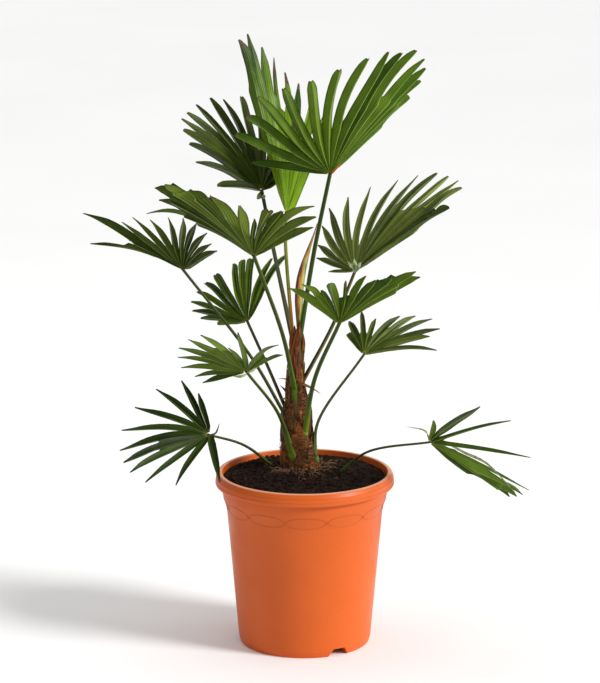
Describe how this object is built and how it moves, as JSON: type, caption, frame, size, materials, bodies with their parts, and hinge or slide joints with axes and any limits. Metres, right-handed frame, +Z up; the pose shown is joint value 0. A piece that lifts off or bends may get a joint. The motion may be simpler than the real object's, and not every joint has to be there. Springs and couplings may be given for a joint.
{
  "type": "potted windmill palm",
  "caption": "Young potted fan palm: a fibrous trunk carries stiff, deeply cut fan fronds on slender stalks, in a tapered orange nursery pot.",
  "frame": {"origin": "centre of the flat underside of the pot, on the surface that it stands on", "axes": "+Z up; the viewer of the front stands on the -Y side, with +X to the right"},
  "size_m": [0.6388, 0.463, 0.9033],
  "materials": {
    "pot": "satin moulded plastic, terracotta orange",
    "compost": "moist dark crumbly potting compost",
    "trunk_fibre": "matted red-brown woven leaf-sheath fibre",
    "spear": "closed young leaf, yellow-green with an orange-brown edge",
    "stalk": "smooth green leaf stalk, browner at its foot",
    "blade": "stiff folded leathery leaf, dark green with a soft gloss"
  },
  "bodies": {
    "root": {"pot": "pot", "compost": "compost", "trunk": "trunk_fibre", "spear_leaf": "spear", "stalk_youngest": "stalk", "blade_youngest": "blade", "stalk_back_left": "stalk", "blade_back_left": "blade", "stalk_front_left": "stalk", "blade_front_left": "blade", "stalk_far_left": "stalk", "blade_far_left": "blade", "stalk_rear_left": "stalk", "blade_rear_left": "blade", "stalk_low_left": "stalk", "blade_low_left": "blade", "stalk_hanging_left": "stalk", "blade_hanging_left": "blade", "stalk_hanging_right": "stalk", "blade_hanging_right": "blade", "stalk_low_right": "stalk", "blade_low_right": "blade", "stalk_front_right": "stalk", "blade_front_right": "blade", "stalk_rear_right": "stalk", "blade_rear_right": "blade", "stalk_top_right": "stalk", "blade_top_right": "blade"}
  },
  "joints": []
}
